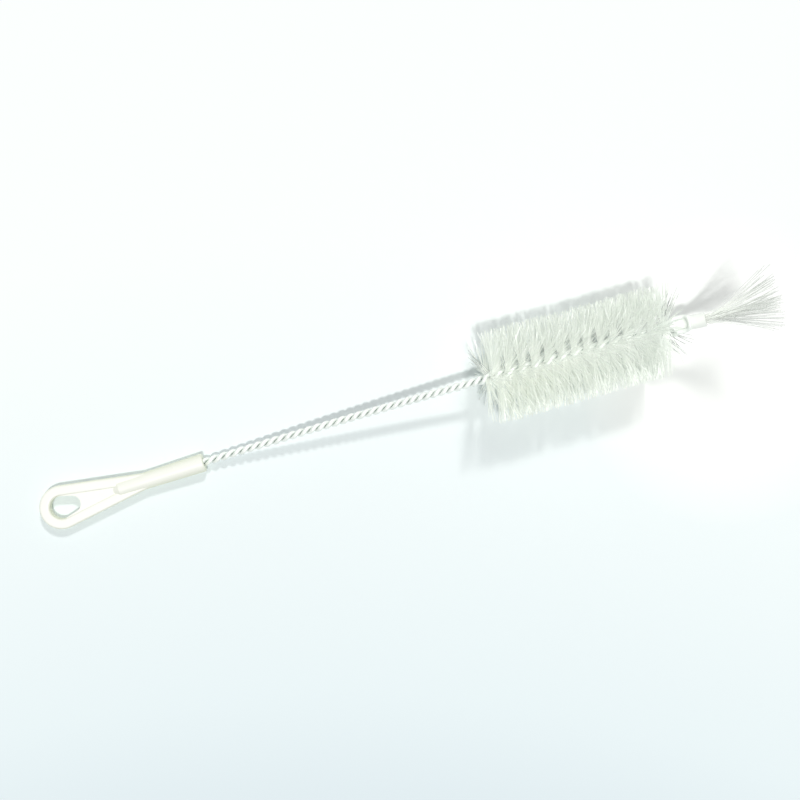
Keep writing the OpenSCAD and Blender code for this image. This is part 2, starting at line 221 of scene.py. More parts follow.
def swept(path, out, radius, sides):
    """A round bar along a path: at each point a circle, square to the path, that starts at the
    direction 'out'. Both ends are closed. The note 'inward' is half of 1 minus the cosine of the
    angle from 'out': 0 on the side that faces out and 1 on the side that faces in."""
    along = np.gradient(path, axis=0)
    along /= np.linalg.norm(along, axis=1, keepdims=True)
    out = out - (out * along).sum(1, keepdims=True) * along
    out /= np.linalg.norm(out, axis=1, keepdims=True)
    third = np.cross(along, out)
    a = np.arange(sides) * 2 * np.pi / sides
    circles = np.cos(a)[:, None] * out[:, None] + np.sin(a)[:, None] * third[:, None]
    rings = path[:, None] + radius * circles
    count = len(path)
    i, j = np.meshgrid(np.arange(count - 1), np.arange(sides), indexing="ij")
    k = (j + 1) % sides
    here, there = i * sides, (i + 1) * sides
    faces = np.stack([here + j, here + k, there + k, there + j], -1).reshape(-1, 4).tolist()
    faces.append(list(range(sides))[::-1])
    faces.append([(count - 1) * sides + q for q in range(sides)])
    return dict(points=rings, faces=faces, inward=np.tile((1 - np.cos(a)) / 2, count))


# A hair is three-sided. One of its faces looks up, give or take its turn, whose spread is in radians.
# A hair that rises or falls more steeply than STEEP, a sine, has it turned along X instead.
HAIR_SIDES, HAIR_TURN = 3, 0.25
STEEP = 0.9
# Added to a length before it divides, so that a hair of no length does no harm.
TINY = 1e-12


def filaments(paths, radii, tone):
    """Tapered hairs. paths is hairs by points by 3, radii is hairs by points and tone is one number a
    hair. Each point gets a triangle square to its hair, and each hair is closed at both ends. The
    note 'reach' goes from 0 at a hair's root to 1 at its tip."""
    hairs, points = radii.shape
    along = np.gradient(paths, axis=1)
    along /= np.linalg.norm(along, axis=2, keepdims=True) + TINY
    pick = np.where(np.abs(along[:, :1, 2:]) < STEEP, [[[0.0, 0.0, 1.0]]], [[[1.0, 0.0, 0.0]]])
    out = np.cross(along, pick)
    out /= np.linalg.norm(out, axis=2, keepdims=True)
    third = np.cross(along, out)
    corners = np.arange(HAIR_SIDES) * 2 * np.pi / HAIR_SIDES + np.pi / 2
    a = (corners + rng.normal(0, HAIR_TURN, (hairs, 1)))[:, None, :, None]
    triangles = np.cos(a) * out[:, :, None] + np.sin(a) * third[:, :, None]
    rings = paths[:, :, None] + radii[:, :, None, None] * triangles
    grid = np.arange(hairs), np.arange(points - 1), np.arange(HAIR_SIDES)
    h, i, j = np.meshgrid(*grid, indexing="ij")
    here = h * points * HAIR_SIDES + i * HAIR_SIDES
    there = here + HAIR_SIDES
    k = (j + 1) % HAIR_SIDES
    walls = np.stack([here + j, here + k, there + k, there + j], -1).reshape(-1, 4)
    roots = np.arange(hairs)[:, None] * points * HAIR_SIDES
    tips = roots + (points - 1) * HAIR_SIDES
    ends = np.vstack([roots + np.array([[2, 1, 0]]), tips + np.array([[0, 1, 2]])])
    every_corner = hairs, points, HAIR_SIDES
    reach = np.broadcast_to(np.linspace(0, 1, points)[None, :, None], every_corner)
    tone = np.broadcast_to(np.clip(tone, 0, 1)[:, None, None], every_corner)
    return dict(points=rings, faces=walls.tolist() + ends.tolist(), smooth=False, reach=reach, tone=tone)


# ---- Node trees ----


class Value:
    """An output of a node, with Python's operators for its maths."""

    def __init__(self, look, output):
        self.look = look
        self.output = output

    def __add__(self, other):
        return self.look.maths("ADD", self, other)

    __radd__ = __add__

    def __mul__(self, other):
        return self.look.maths("MULTIPLY", self, other)

    __rmul__ = __mul__

    def __sub__(self, other):
        return self.look.maths("SUBTRACT", self, other)

    def __rsub__(self, other):
        return self.look.maths("SUBTRACT", other, self)


class Outputs:
    """The outputs of a node, by name or number."""

    def __init__(self, look, node):
        self.look = look
        self.node = node

    def __getitem__(self, key):
        return Value(self.look, self.node.outputs[key])


class Look:
    """A node tree while it is filled: every node comes from node()."""

    def __init__(self, owner):
        owner.use_nodes = True
        self.owner = owner
        self.tree = owner.node_tree
        self.tree.nodes.clear()

    def node(self, kind, settings=None, **values):
        """Adds a node. Settings are its own properties, or a ramp's stops, and are set first. Values
        are for its inputs, by name with _ for a space, or by number as i0, i1 and so on."""
        node = self.tree.nodes.new(kind)
        for key, value in (settings or {}).items():
            if key == "stops":
                self.set_stops(node.color_ramp, value)
            else:
                setattr(node, key, value)
        for key, value in values.items():
            numbered = key[0] == "i" and key[1:].isdigit()
            entry = node.inputs[int(key[1:]) if numbered else key.replace("_", " ")]
            if isinstance(value, Value):
                self.tree.links.new(value.output, entry)
            else:
                entry.default_value = value
        return Outputs(self, node)

    def set_stops(self, colours, stops):
        """Gives a ramp its stops, each a place from 0 to 1 and a colour."""
        while len(colours.elements) < len(stops):
            colours.elements.new(0.5)
        for element, (at, colour) in zip(colours.elements, stops):
            element.position = at
            element.color = (*colour, 1)

    def maths(self, operation, first, second):
        """One operation on two values or numbers."""
        return self.node("ShaderNodeMath", {"operation": operation}, i0=first, i1=second)["Value"]

    def coordinates(self):
        """Places in the brush's own frame, in metres."""
        return self.node("ShaderNodeTexCoord")["Object"]

    def note(self, name):
        """A number kept at every point of the mesh."""
        return self.node("ShaderNodeAttribute", {"attribute_name": name})["Fac"]

    def noise(self, at, scale, detail):
        """Clouds between 0 and 1, with scale of them along a metre."""
        return self.node("ShaderNodeTexNoise", None, Vector=at, Scale=scale, Detail=detail)["Fac"]

    def fade(self, value, start, end):
        """0 at start, 1 at end and straight between them, held on beyond both."""
        return self.node("ShaderNodeMapRange", None, Value=value, From_Min=start, From_Max=end)["Result"]

    def colours(self, value, *stops):
        """A colour that runs through the stops, each a value and its colour."""
        return self.node("ShaderNodeValToRGB", {"stops": stops}, Fac=value)["Color"]

    def blend(self, share, first, second):
        """The first colour where share is 0 and the second where it is 1."""
        first, second = (c if isinstance(c, Value) else (*c, 1) for c in (first, second))
        return self.node("ShaderNodeMix", {"data_type": "RGBA"}, i0=share, i6=first, i7=second)[2]

    def dents(self, height, strength, depth):
        """The surface's direction, tilted as if it had a height of up to depth, in metres."""
        return self.node("ShaderNodeBump", None, Strength=strength, Distance=depth, Height=height)["Normal"]

    def solid(self, **values):
        """The shader for every solid finish, metal too."""
        return self.node("ShaderNodeBsdfPrincipled", None, **values)["BSDF"]

    def mix(self, share, first, second):
        """The first shader where share is 0 and the second where it is 1."""
        return self.node("ShaderNodeMixShader", None, i0=share, i1=first, i2=second)["Shader"]

    def finish(self, shader):
        """Puts the shader on the surface and gives the finished material."""
        self.node("ShaderNodeOutputMaterial", None, Surface=shader)
        return self.owner


# ---- Materials ----


def moulded_ivory():
    """Satin ivory plastic with a faint mottle and the soft unevenness of a moulded skin. Its flanks are
    painted yellower than the faces that look up: a painted shade for the light that falls off there."""
    look = Look(bpy.data.materials.new("moulded_ivory"))
    place = look.node("ShaderNodeTexCoord")
    cloud = look.noise(place["Object"], scale=55.0, detail=3.0)
    grain = look.noise(place["Object"], scale=1400.0, detail=2.0)
    up = look.node("ShaderNodeSeparateXYZ", None, Vector=place["Normal"])["Z"]
    pale = look.colours(cloud, (0.3, (0.935, 0.95, 0.90)), (0.7, (0.96, 0.97, 0.93)))
    # Painted shade: the flanks, which face away from the lamps, are painted yellower than the ivory on top.
    painted_flank_shade = (0.86, 0.895, 0.745)
    tint = look.blend(look.fade(up, start=0.45, end=0.97), painted_flank_shade, pale)
    skin = look.dents(cloud * 0.8 + grain * 0.2, strength=0.25, depth=0.0003)
    return look.finish(look.solid(Base_Color=tint, Roughness=grain * 0.15 + 0.3, Normal=skin))


def galvanised_steel():
    """Bright zinc over steel: partly metallic, with fine drawn scratches and small dull patches, and
    a painted shade in grey in the groove between the strands."""
    look = Look(bpy.data.materials.new("galvanised_steel"))
    at = look.coordinates()
    inward = look.note("inward")
    patch = look.noise(at, scale=420.0, detail=4.0)
    fine = look.noise(at, scale=2600.0, detail=2.0)
    bright = look.colours(patch, (0.35, (0.86, 0.90, 0.87)), (0.6, (0.95, 0.98, 0.955)))
    # Painted shade: the side of each strand that faces the other strand is painted grey.
    groove_shade = look.fade(inward + patch * 0.1, start=0.5, end=0.95)
    groove_shade_grey = (0.56, 0.62, 0.585)
    tint = look.blend(groove_shade, bright, groove_shade_grey)
    scratches = look.dents(fine, strength=0.2, depth=0.0001)
    return look.finish(
        look.solid(Base_Color=tint, Metallic=0.35, Roughness=patch * 0.3 + 0.3, Normal=scratches)
    )


# The nylon is darker and yellower towards the handle, on the brush's right: the colour, its greatest
# share, and the lines along X and Y, in metres, from where there is none of it to where it is full.
HANDLE_SIDE_TINT, YELLOW_SHARE = (0.9, 0.925, 0.83), 0.6
YELLOW_ALONG, YELLOW_ACROSS = (0.125, 0.06), (0.015, -0.012)
NYLON_IOR = 1.53


def nylon(name, clear, dull, tip, tip_from, tip_full, milk, glow, painted_tip_glow, glassy):
    """Nylon filaments: pale and glossy, and half of their light comes through them from the far side,
    in the colour milk. A filament is clear at its root. Further out it has its own tone, from dull at
    0 to clear at 1, and over its end, from tip_from to tip_full of its length, it turns to the tip's
    colour, a painted shade, the clear ones most. The glow is painted light: it stands for light that
    goes on from filament to filament, and falls evenly from the root to nothing at the tip. With
    painted_tip_glow, the clearest filaments keep their colour and end in a tip that glows, a painted
    highlight. Glassy is the share of the light that goes straight through, and it is down to half in
    the clearest."""
    look = Look(bpy.data.materials.new(name))
    reach = look.note("reach")
    tone = look.note("tone")
    at = look.coordinates()
    streak = look.noise(at, scale=700.0, detail=2.0)
    past_root = look.fade(reach, start=0.15, end=0.5)
    own = look.blend(past_root * (1.0 - tone), clear, dull)
    place = look.node("ShaderNodeSeparateXYZ", None, Vector=at)
    near_handle = look.fade(place["X"], *YELLOW_ALONG)
    on_right = look.fade(place["Y"], *YELLOW_ACROSS)
    own = look.blend(near_handle * on_right * YELLOW_SHARE, own, HANDLE_SIDE_TINT)
    ending = look.fade(reach + streak * 0.2, start=tip_from, end=tip_full)
    # Painted light: a glow that fades from the root to nothing at the tip.
    light = glow * (1.0 - reach)
    # Painted highlight: the clearest filaments glow at their tips.
    if painted_tip_glow:
        clearest = look.fade(tone, start=0.72, end=0.88)
        last_part = look.fade(reach, start=0.7, end=0.95)
        turned = ending * (1.0 - clearest)
        light = light + clearest * last_part * painted_tip_glow
    else:
        turned = ending * (tone * 0.7 + 0.3)
    shine = look.solid(
        Base_Color=look.blend(turned, own, tip),
        Roughness=streak * 0.2 + 0.15,
        IOR=NYLON_IOR,
        Emission_Color=light,
        Emission_Strength=1.0,
    )
    milky = look.node("ShaderNodeBsdfTranslucent", None, Color=(*milk, 1))["BSDF"]
    nylon_mix = look.mix(0.5, shine, milky)
    glass = look.node("ShaderNodeBsdfTransparent")["BSDF"]
    whitest = look.fade(tone, start=0.9, end=1.0)
    return look.finish(look.mix(glassy * (1.0 - 0.5 * whitest), nylon_mix, glass))


def milky_plastic():
    """White plastic tube, slightly glossy, with a faint painted glow that stands for light scattered inside
    its wall.
    """
    look = Look(bpy.data.materials.new("milky_plastic"))
    cloud = look.noise(look.coordinates(), scale=200.0, detail=2.0)
    tint = look.colours(cloud, (0.3, (0.94, 0.975, 0.94)), (0.7, (0.96, 0.99, 0.96)))
    # Painted light: the tube glows faintly in its own colour.
    return look.finish(
        look.solid(
            Base_Color=tint, Roughness=cloud * 0.1 + 0.3, Emission_Color=tint, Emission_Strength=0.04
        )
    )


def dress(piece, material, slot, *nodes):
    """Gives a new piece its material and its place on the brush, and hides the nodes that it replaces. The
    slot is not used.
    """
    piece.data.materials.append(material)
    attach(piece, "root")
    if nodes:
        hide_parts(*nodes)


def repaint(node, material):
    """A CAD solid keeps its shape and gets a finished material."""
    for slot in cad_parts[node].material_slots:
        slot.material = material


# ---- Wire ----

WIRE_SIDES, STRAND_POINTS, LOOP_POINTS = 14, 1060, 140

# The painted groove shade is weak on the loop.
LOOP_GROOVE_SHADE = 0.2

# The loop's knots: distance past the head, distance from the tip's axis and angle. They are the
# solid's own. On the sleeve the wire's centre is LOOP_R from that axis.
LOOP_PLAY = 0.05
LOOP_R = SLEEVE_D / 2 + WIRE_R + LOOP_PLAY
LOOP_KNOTS = np.array([
    [0, HEAD_OFFSET, END_ANGLE],
    [1.5, 2.9, END_ANGLE - 10],
    [2.9, 4.65, 46],
    [4.6, LOOP_R, 40],
    [6.6, LOOP_R, 38],
    [8.8, LOOP_R, 40],
    [10.5, LOOP_R, 56],
    [11.1, LOOP_R, 88],
    [10.8, LOOP_R, 116],
    [9.4, LOOP_R, 134],
    [7, LOOP_R, 139],
    [4.6, LOOP_R, 141],
    [2.9, 4.65, 166],
    [1.9, 3.1, 205],
    [0.9, 2.1, END_ANGLE + 172],
    [0, HEAD_OFFSET, END_ANGLE + 180],
])


def loop_route():
    """The loop round the sleeve: a smooth cubic through the knots, whose slope at each knot is half
    the step from the knot before it to the one after. The head's strands already have its two ends."""
    last = len(LOOP_KNOTS) - 1
    t = np.linspace(0, last, LOOP_POINTS)[1:-1]
    i = np.minimum(t.astype(int), last - 1)
    f = (t - i)[:, None]
    a, b, c, d = (LOOP_KNOTS[np.clip(i + step, 0, last)] for step in (-1, 0, 1, 2))
    square, cube = (2 * a - 5 * b + 4 * c - d) * f**2, (3 * b - 3 * c + d - a) * f**3
    past_head, from_axis, angle = np.split(0.5 * (2 * b + (c - a) * f + square + cube), 3, axis=1)
    angle = np.radians(angle)
    out = np.cos(angle) * TIP_LEFT + np.sin(angle) * TIP_UP
    return TIP_AT + past_head * TIP_AHEAD + from_axis * out, out


def twisted_wire():
    """One wire: out along the first strand's helix, round the loop, and back along the second."""
    turns = np.linspace(-GRIP_TURNS, END_TURNS, STRAND_POINTS)
    s = distance_at(turns)
    out_1, out_2 = (sideways(s, angle_at(turns) + phase) for phase in (0, 180))
    strand_1, strand_2 = (axis_point(s) + offset_at(turns)[:, None] * out for out in (out_1, out_2))
    loop, loop_out = loop_route()
    path = np.vstack([strand_1, loop, strand_2[::-1]])
    bar = swept(path, np.vstack([out_1, loop_out, out_2[::-1]]), WIRE_R, WIRE_SIDES)
    points = WIRE_SIDES * np.array([len(turns), len(loop), len(turns)])
    # The loop gets only a little of the painted groove shade.
    bar["inward"] *= np.repeat([1, LOOP_GROOVE_SHADE, 1], points)
    return bar


# ---- Hairs ----

# Radius of a hair at its root, and the share of it that is lost at its tip.
HEAD_HAIR_R, HEAD_TAPER = 0.175, 0.2
TUFT_HAIR_R, TUFT_TAPER = 0.15, 0.3
LOOSE_HAIR_R, LOOSE_TAPER = 0.12, 0.3

# A hair's lean along the axis grows with this power of its length's share, from nothing at its root.
HEAD_LEAN_POWER, LOOSE_LEAN_POWER = 1.2, 1.4

# Hairs of the head. A lock's hairs share a root, a lean and a length. Where a value has "spread" in
# its name, it is the standard deviation of a random draw.
LOCKS, LOCK_HAIRS, HAIR_POINTS = 165, 2, 6
ROOT_TURNS_SPREAD = 0.02
LOCK_ANGLE_SPREAD, LOCK_ANGLE_MORE, HAIR_ANGLE_SPREAD = 4, 5, 1.5
HAIR_LEAN_SPREAD = 0.35
LOCK_LENGTH_SPREAD, HAIR_LENGTH_SPREAD = 0.9, 0.4
LOCK_BOW_SPREAD, HAIR_BOW_SPREAD = 0.22, 0.12

# This share of the hairs strays from its lock, by so many times the hairs' spreads.
STRAYING, STRAY_TIMES = 0.2, 3.0

# A hair starts ROOT_R from the axis, and within LAYER_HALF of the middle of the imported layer.
ROOT_R, LAYER_HALF = 0.2, 0.35

# Locks that leave the core's top are missing with the chance TOP_GAP, which fades to the sides with
# the cube of the sine. After the first TOP_GAP_EVEN turns it falls evenly, by TOP_GAP_LESS in all.
TOP_GAP, TOP_GAP_LESS, TOP_GAP_EVEN = 0.65, 0.15, 2

# Each lock's lean moves on from the last one's by this share of a pitch, so that none repeats.
GOLDEN = 0.618

# In so many turns at each end of the head the hairs are swept towards its middle, on the brush's left
# and on its right.
SWEEP_TURNS = 1.6
LEFT_SWEEP_START, RIGHT_SWEEP_START = 1.5, 5.0
LEFT_SWEEP_END, RIGHT_SWEEP_END = 4.5, 9.3

# At the sleeve the forward lean on top is taken off this many times, which turns it round.
SLEEVE_PUSH = 2.2

# The hairs are longer on the right, and on the left they are so by the stem and shorter further on.
RIGHT_MORE, LEFT_MORE, LEFT_LESS, LEFT_TURNS = 1.0, 0.8, 0.2, 4

# Tips under the head lie in a layer just above the bench.
BENCH_GAP, BENCH_LAYER = 0.15, 0.5

# What a hair's tone has from its lock, from itself and from the side of the brush. The side's share
# gives more hairs on the brush's right the glowing tips of the clearest, a painted highlight.
LOCK_TONE, HAIR_TONE, RIGHT_HIGHLIGHT_TONE = 0.7, 0.3, 0.12


def half_turn_of_hairs(k):
    """Hairs that the wire clamps in half turn k, from 1 at the stem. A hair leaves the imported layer
    square to the axis at the angle that the wire has there. Its radius grows evenly, its lean along
    the axis with a power of its length's share, and its bow is a half sine."""
    count = LOCKS * LOCK_HAIRS
    lock = np.repeat(np.arange(LOCKS), LOCK_HAIRS)
    stray = np.where(rng.random(count) < STRAYING, STRAY_TIMES, 1.0)

    # Roots, along the half turn and on both sides of the layer. The strands over the core's top
    # part the hairs there.
    start = STEM_TURNS + (k - 1) / 2
    begins = start + (np.arange(LOCKS) + rng.random(LOCKS)) / LOCKS / 2
    sides = np.where(rng.random(LOCKS) < 0.5, 0.0, 180.0)
    on_top = np.clip(np.sin(np.radians(angle_at(begins) + 90 + sides)), 0, 1)
    gap = TOP_GAP - TOP_GAP_LESS * ramp(begins, STEM_TURNS + TOP_GAP_EVEN, END_TURNS)
    kept = (rng.random(LOCKS) > gap * on_top**3)[lock]
    turns = np.clip(begins[lock] + rng.normal(0, ROOT_TURNS_SPREAD, count), start, start + 0.5)
    s = distance_at(turns)

    # Angle round the axis.
    fan = LOCK_ANGLE_SPREAD + LOCK_ANGLE_MORE * ramp(turns, STEM_TURNS, END_TURNS)
    angle = angle_at(turns) + 90 + sides[lock]
    angle = angle + rng.normal(0, 1, LOCKS)[lock] * fan
    angle = angle + rng.normal(0, HAIR_ANGLE_SPREAD, count) * stray
    to_left, to_top = np.cos(np.radians(angle)), np.sin(np.radians(angle))
    leftward, rightward = np.clip(to_left, 0, 1) ** 2, np.clip(-to_left, 0, 1) ** 2

    # Lean along the axis.
    to_start = 1 - ramp(turns, STEM_TURNS, STEM_TURNS + 1)
    to_end = ramp(turns, END_TURNS - 1, END_TURNS)
    splay = END_SPLAY * (to_end**2 - to_start**2)
    spread = ((np.arange(LOCKS) * GOLDEN + rng.random()) % 1 - 0.5)[lock] * HEAD_PITCH
    spread = spread + rng.normal(0, HAIR_LEAN_SPREAD, count) * stray
    top_lean = FRONT_LEAN * np.clip(to_top, 0, 1) ** 2 * (1 - SLEEVE_PUSH * to_end)
    sweep_start = 1 - ramp(turns, STEM_TURNS, STEM_TURNS + SWEEP_TURNS)
    sweep_end = ramp(turns, END_TURNS - SWEEP_TURNS, END_TURNS)
    swept_in = sweep_start * (LEFT_SWEEP_START * leftward + RIGHT_SWEEP_START * rightward)
    swept_in = swept_in - sweep_end * (LEFT_SWEEP_END * leftward + RIGHT_SWEEP_END * rightward)
    lean = spread + HEAD_SKEW * to_left + top_lean + splay + swept_in

    # Reach from the axis.
    left_more = LEFT_MORE - (LEFT_MORE + LEFT_LESS) * ramp(turns, STEM_TURNS, STEM_TURNS + LEFT_TURNS)
    reach = HEAD_R + RIGHT_MORE * rightward + left_more * leftward
    reach = reach - np.abs(rng.normal(0, LOCK_LENGTH_SPREAD, LOCKS))[lock]
    reach = reach - np.abs(rng.normal(0, HAIR_LENGTH_SPREAD, count)) * stray

    bow = rng.normal(0, LOCK_BOW_SPREAD, LOCKS)[lock] + rng.normal(0, HAIR_BOW_SPREAD, count) * stray
    layer = rng.uniform(-LAYER_HALF, LAYER_HALF, count)
    f = np.linspace(0, 1, HAIR_POINTS)[None, :]
    radius = ROOT_R + (reach[:, None] - ROOT_R) * f
    along = lean[:, None] * f**HEAD_LEAN_POWER
    across = layer[:, None] * (1 - f) + bow[:, None] * np.sin(np.pi * f)
    axis, forward = axis_point(s)[:, None], ahead(s)[:, None]
    out, square = sideways(s, angle)[:, None], sideways(s, angle + 90)[:, None]
    paths = axis + along[..., None] * forward + radius[..., None] * out + across[..., None] * square
    lowest = -MOUTH_HEIGHT + BENCH_GAP + BENCH_LAYER * rng.random((count, 1))
    paths[..., 2] = np.maximum(paths[..., 2], lowest)
    tone = rng.random(LOCKS)[lock] * LOCK_TONE + rng.random(count) * HAIR_TONE + RIGHT_HIGHLIGHT_TONE * rightward
    radii = np.repeat(HEAD_HAIR_R * (1 - HEAD_TAPER * f**2), count, 0)
    return filaments(paths[kept], radii[kept], tone[kept])


def loose_ends(count, turns, lean, reach, angle, tone):
    """Single hairs that stand away from the head: each reaches out evenly and leans along the axis
    with a power of its length's share. Every range holds the least and the most."""
    turns, lean, reach, angle = (rng.uniform(*limits, count) for limits in (turns, lean, reach, angle))
    s = distance_at(turns)
    f = np.linspace(0, 1, HAIR_POINTS)[None, :]
    along, radius = lean[:, None] * f**LOOSE_LEAN_POWER, reach[:, None] * f
    axis, forward, out = axis_point(s)[:, None], ahead(s)[:, None], sideways(s, angle)[:, None]
    paths = axis + along[..., None] * forward + radius[..., None] * out
    radii = np.repeat(LOOSE_HAIR_R * (1 - LOOSE_TAPER * f**2), count, 0)
    return paths, radii, np.full(count, tone)


# Hairs of the tuft. The first share of the locks stays in its dense middle, the last hangs to its
# right, and the rest fan out to the left.
TUFT_LOCKS, TUFT_LOCK_HAIRS, TUFT_POINTS = 68, 2, 8
MIDDLE_LOCKS, HANGING_FROM = 0.62, 0.88

# Where the locks end, in shares of the tuft's radius: the middle's place to the left and its spreads,
# the hanging locks' least distance to the right, their range and their spread, and the fan's height.
MIDDLE_AT, MIDDLE_WIDTH_SPREAD, MIDDLE_HEIGHT_SPREAD = 0.04, 0.2, 0.16
HANGING_AT, HANGING_RANGE, HANGING_HEIGHT_SPREAD = 0.3, 0.4, 0.2
FAN_HEIGHT = 0.75

# Spread of the hairs in a lock, and what is left of it in the hanging locks.
TUFT_HAIR_SPREAD, HANGING_KEEP = 0.07, 0.45

# In the sleeve the hairs lie in a disc with its own spread, and keep a share of their lock's place.
# They start inside the sleeve's end, stay clear of its bore, and spread out with a power.
PACKED_SPREAD, PACKED_KEEP, PACKED_R = 0.45, 0.3, 0.95
TUFT_START, BORE_GAP, SPREAD_POWER = 1, 0.2, 1.25

# Lengths as shares of the tuft's: the longest, what the outer ones lack and the spread of the rest.
LONGEST, OUTER_LESS, TUFT_LENGTH_SPREAD = 0.96, 0.08, 0.1
TUFT_BEND_SPREAD = 0.6

# Tones: the fan is clear, a painted highlight where it catches the light, and the others are darker
# to the right, a painted shade, and darker at random.
FAN_HIGHLIGHT_TONE, MIDDLE_TONE, SHADE_TONE_SLOPE, TUFT_TONE_SPREAD = 1.2, 0.8, 1.0, 0.1
DARK_HAIRS, DARK_BY = 0.35, 0.35


def into_disc(u, v, radius):
    """Moves the places that are outside a disc to its edge, straight towards its centre."""
    scale = np.maximum(np.hypot(u, v), radius) / radius
    return u / scale, v / scale


def tip_tuft():
    """Hairs of the tuft in locks. They are packed in the sleeve, and spread with a power of the
    share of their length outside it."""
    count = TUFT_LOCKS * TUFT_LOCK_HAIRS
    lock = np.repeat(np.arange(TUFT_LOCKS), TUFT_LOCK_HAIRS)
    share = np.arange(TUFT_LOCKS) / TUFT_LOCKS
    middle, hanging = share < MIDDLE_LOCKS, share > HANGING_FROM

    # Places of the locks' tips: u to the left and v up, as shares of the tuft's radius.
    r, a = np.sqrt(rng.random(TUFT_LOCKS)), rng.random(TUFT_LOCKS) * 2 * np.pi
    middle_u = rng.normal(MIDDLE_AT, MIDDLE_WIDTH_SPREAD, TUFT_LOCKS)
    hanging_u = -HANGING_AT - HANGING_RANGE * rng.random(TUFT_LOCKS)
    u = np.select([middle, hanging], [middle_u, hanging_u], np.abs(r * np.cos(a)))
    middle_v = rng.normal(0, MIDDLE_HEIGHT_SPREAD, TUFT_LOCKS)
    hanging_v = rng.normal(0, HANGING_HEIGHT_SPREAD, TUFT_LOCKS)
    v = np.select([middle, hanging], [middle_v, hanging_v], FAN_HEIGHT * r * np.sin(a))

    # Places of the hairs in the sleeve, 0, and at their tips, 1.
    u0, v0 = (rng.normal(0, PACKED_SPREAD, count) + PACKED_KEEP * w[lock] for w in (u, v))
    closeness = np.where(hanging, HANGING_KEEP, 1.0)[lock]
    u1, v1 = (w[lock] + rng.normal(0, TUFT_HAIR_SPREAD, count) * closeness for w in (u, v))
    u0, v0 = into_disc(u0, v0, PACKED_R)
    u1, v1 = into_disc(u1, v1, 1)

    root = SLEEVE_FROM + SLEEVE_LENGTH
    packed = SLEEVE_D / 2 - SLEEVE_WALL - BORE_GAP
    shorter = TUFT_LENGTH_SPREAD * np.abs(rng.normal(0, 1, count))
    length = TUFT_LENGTH * (LONGEST - OUTER_LESS * np.hypot(u1, v1) - shorter)
    f = np.linspace(0, 1, TUFT_POINTS)[None, :]
    at_start = np.full((count, 1), SLEEVE_FROM + TUFT_START)
    along = np.concatenate([at_start, root + length[:, None] * f], axis=1)
    g = np.concatenate([np.zeros((count, 1)), np.repeat(f, count, 0)], axis=1)
    bend = rng.normal(0, TUFT_BEND_SPREAD, (count, 2))
    inside, outside = packed * (1 - g), TUFT_SPREAD / 2 * g**SPREAD_POWER
    across, height = (
        inside * w0[:, None] + outside * w1[:, None] + bent * g * (1 - g) + packed * g * w1[:, None]
        for w0, w1, bent in ((u0, u1, bend[:, :1]), (v0, v1, bend[:, 1:]))
    )

    in_fan = ~(middle | hanging)[lock]
    dark = rng.random(count) < DARK_HAIRS
    tone = np.where(in_fan, FAN_HIGHLIGHT_TONE, MIDDLE_TONE + SHADE_TONE_SLOPE * u1 - DARK_BY * dark)
    tone = tone + rng.normal(0, TUFT_TONE_SPREAD, count)
    return filaments(tip_point(along, across, height), TUFT_HAIR_R * (1 - TUFT_TAPER * g**2), tone)


# ---- Putting the brush together ----

head_nylon = nylon(
    "nylon_head",
    clear=(0.968, 0.985, 0.962),
    dull=(0.92, 0.952, 0.905),
    tip=(0.885, 0.915, 0.87),
    tip_from=0.45,
    tip_full=1.05,
    milk=(0.985, 1.0, 0.985),
    glow=0.15,
    painted_tip_glow=0.35,
    glassy=0.0,
)
# In the tuft the dull and tip colours are painted shade, for strands that look dark against the bench.
tuft_nylon = nylon(
    "nylon_tuft",
    clear=(0.99, 1.0, 0.98),
    dull=(0.1, 0.13, 0.12),
    tip=(0.2, 0.23, 0.2),
    tip_from=0.6,
    tip_full=1.25,
    milk=(0.96, 0.98, 0.95),
    glow=0.12,
    painted_tip_glow=0.0,
    glassy=0.7,
)
# A shaded copy of the nylon for the loose hairs: its darker dull, tip and milk colours are painted shade.
shaded_nylon = nylon(
    "nylon_strays",
    clear=(0.95, 0.97, 0.95),
    dull=(0.4, 0.42, 0.42),
    tip=(0.3, 0.31, 0.31),
    tip_from=0.4,
    tip_full=1.3,
    milk=(0.5, 0.52, 0.52),
    glow=0.0,
    painted_tip_glow=0.0,
    glassy=0.1,
)

repaint("handle", moulded_ivory())
repaint("sleeve", milky_plastic())
wire = make_piece("twisted_wire", **twisted_wire())
dress(wire, galvanised_steel(), "galvanised_wire", "wire")
for k in range(1, HALF_TURNS + 1):
    piece = make_piece(f"filaments_{k}", **half_turn_of_hairs(k))
    dress(piece, head_nylon, "nylon", f"bristles_{k}")
tuft = make_piece("tuft_filaments", **tip_tuft())
dress(tuft, tuft_nylon, "nylon", "tuft")

# Loose hairs where the head meets the stem, and to the left and right of the sleeve.
by_stem = loose_ends(
    5, turns=(STEM_TURNS, STEM_TURNS + 0.3), lean=(-8, -4), reach=(10, 17), angle=(-10, 50), tone=0.9
)
right_of_sleeve = loose_ends(
    14, turns=(END_TURNS - 0.5, END_TURNS), lean=(6, 13), reach=(8, 17), angle=(150, 215), tone=0.2
)
left_of_sleeve = loose_ends(
    18, turns=(END_TURNS - 0.5, END_TURNS), lean=(3, 10), reach=(10, 20), angle=(-25, 35), tone=0.6
)
stray_hairs = (np.concatenate(parts) for parts in zip(by_stem, right_of_sleeve, left_of_sleeve))
strays = make_piece("stray_filaments", **filaments(*stray_hairs))
dress(strays, shaded_nylon, "nylon")

# Longer hairs that splay past the head's end, on the right and below.
splayed_hairs = loose_ends(
    30, turns=(END_TURNS - 0.6, END_TURNS), lean=(7, 13), reach=(17, 21), angle=(198, 235), tone=0.9
)
splayed = make_piece("splayed_filaments", **filaments(*splayed_hairs))
dress(splayed, head_nylon, "nylon")


# ---- Studio ----

BENCH_HALF = 20.0
BENCH_WHITE, LIGHT_POOL_WHITE = (0.94, 0.98, 0.985), (0.98, 1.0, 1.0)

